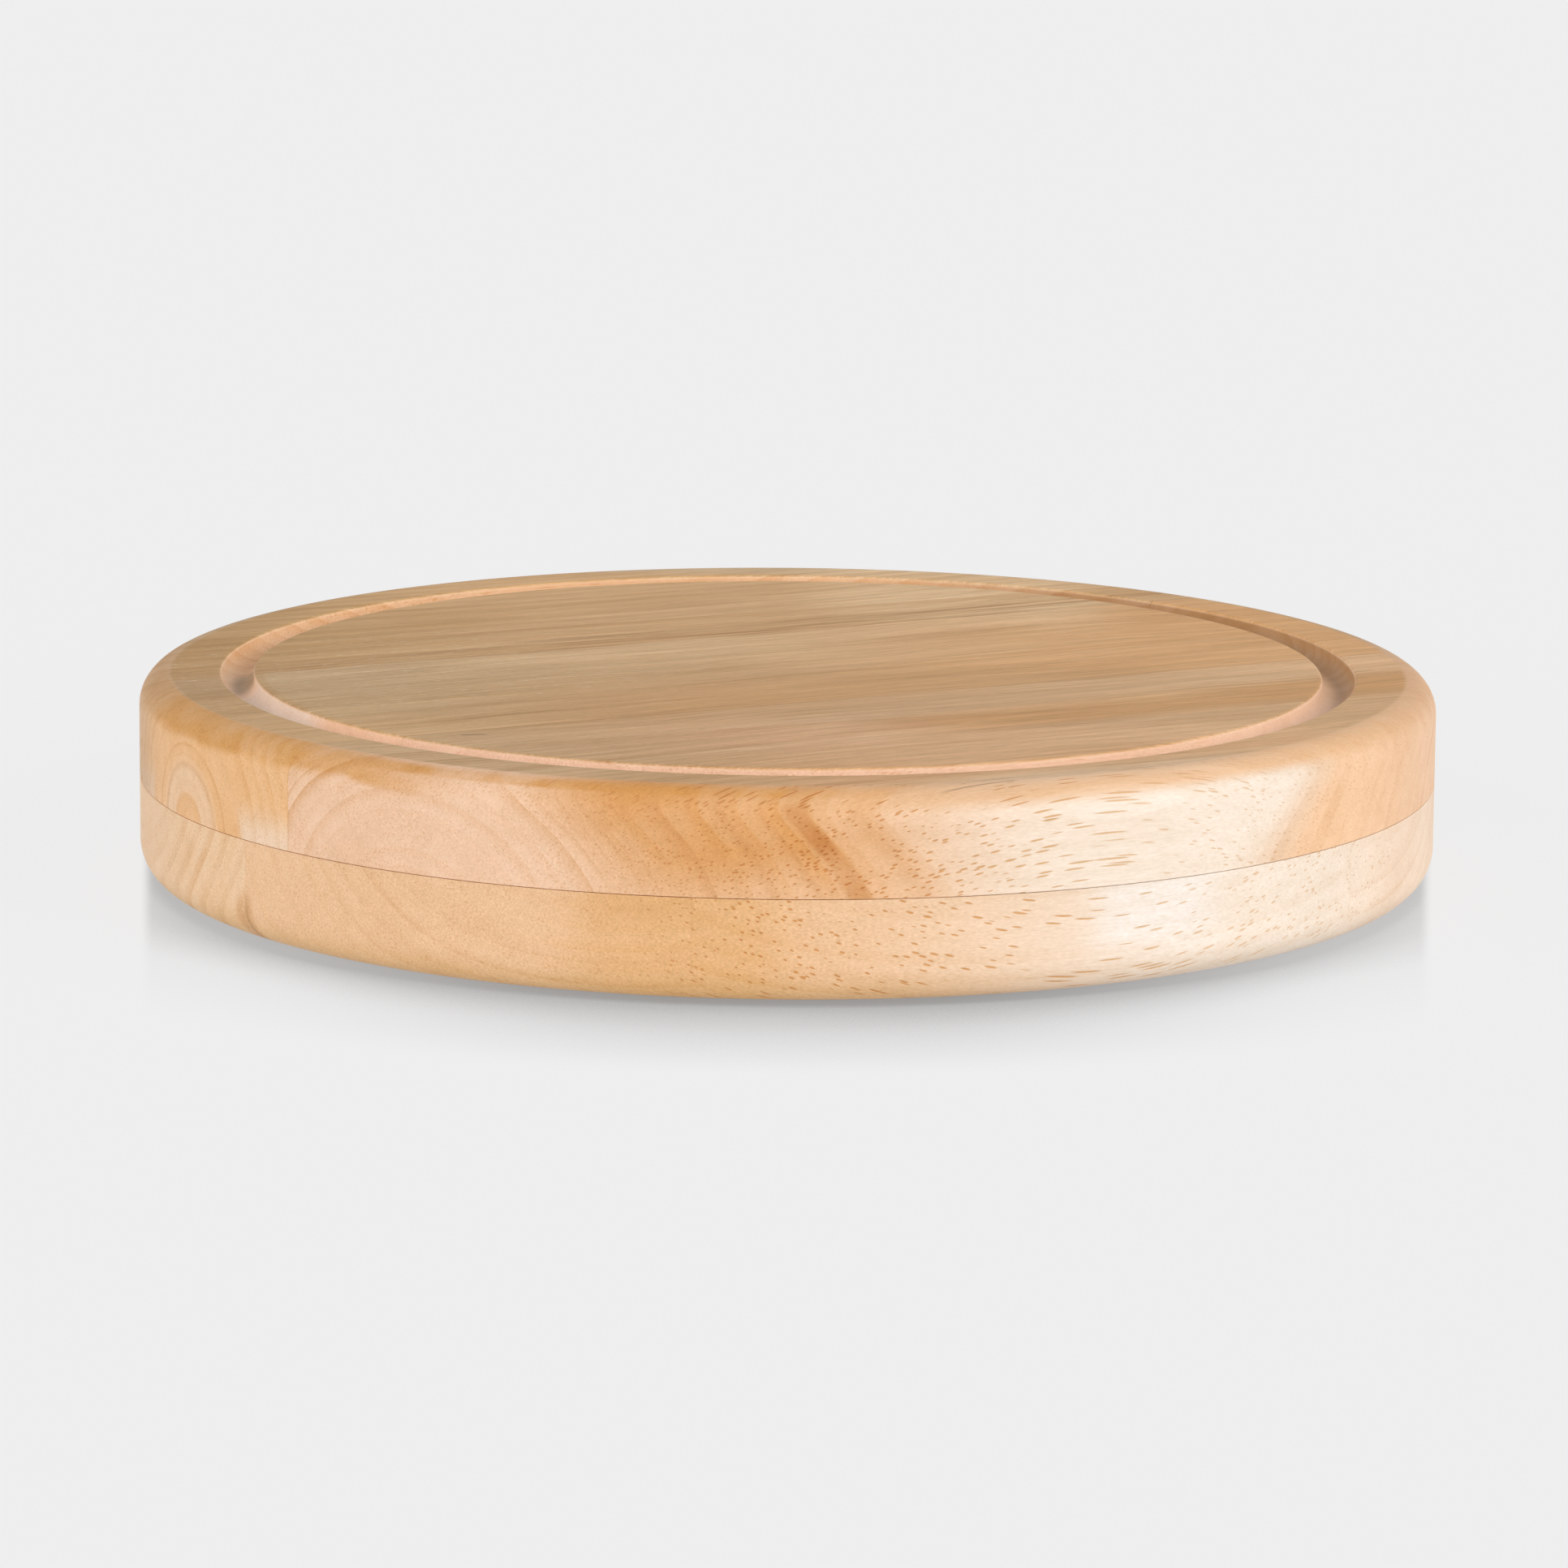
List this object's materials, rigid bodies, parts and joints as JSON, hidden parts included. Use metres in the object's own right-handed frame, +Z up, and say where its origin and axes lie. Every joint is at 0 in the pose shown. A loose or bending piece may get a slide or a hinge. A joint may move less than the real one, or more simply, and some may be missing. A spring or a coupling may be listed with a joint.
{
  "type": "swivel cheese board",
  "caption": "Layered round wooden cheese board with a juice groove, whose lid swivels on a rim pivot to bare a carved tray of cheese tools.",
  "frame": {"origin": "centre of the underside of the lower board", "axes": "+Z up through both boards, +Y towards the swivel pivot, -Y towards the picture's camera, the tools lie along X"},
  "size_m": [0.259, 0.259, 0.0406],
  "materials": {
    "board_wood": "satin oiled rubberwood, edge-glued staves",
    "handle_wood": "satin oiled rubberwood, turned",
    "stainless_steel": "brushed",
    "brass": "turned",
    "nylon": "plain"
  },
  "bodies": {
    "base": {"lower_board": "board_wood", "pivot_bushing": "brass", "glide_washer": "nylon", "bolt_washer": "stainless_steel"},
    "lid": {"upper_board": "board_wood", "threaded_insert": "brass", "pivot_bolt": "stainless_steel"},
    "chisel_knife": {"chisel_knife_handle": "handle_wood", "chisel_knife_ferrule": "stainless_steel", "chisel_knife_blade": "stainless_steel"},
    "fork_knife": {"fork_knife_handle": "handle_wood", "fork_knife_ferrule": "stainless_steel", "fork_knife_blade": "stainless_steel"},
    "cheese_plane": {"cheese_plane_handle": "handle_wood", "cheese_plane_ferrule": "stainless_steel", "cheese_plane_blade": "stainless_steel"},
    "spade_knife": {"spade_knife_handle": "handle_wood", "spade_knife_ferrule": "stainless_steel", "spade_knife_blade": "stainless_steel"}
  },
  "joints": [
    {"name": "lid_swivel", "type": "hinge", "parent": "base", "child": "lid", "pos_m": [0, 0.11155, 0.0203], "axis": [0, 0, 1], "continuous": true},
    {"name": "chisel_knife_lift", "type": "slide", "parent": "base", "child": "chisel_knife", "axis": [0, 0, 1], "range_m": [0, 0.0018]},
    {"name": "fork_knife_lift", "type": "slide", "parent": "base", "child": "fork_knife", "axis": [0, 0, 1], "range_m": [0, 0.0018]},
    {"name": "cheese_plane_lift", "type": "slide", "parent": "base", "child": "cheese_plane", "axis": [0, 0, 1], "range_m": [0, 0.0018]},
    {"name": "spade_knife_lift", "type": "slide", "parent": "base", "child": "spade_knife", "axis": [0, 0, 1], "range_m": [0, 0.0018]}
  ]
}
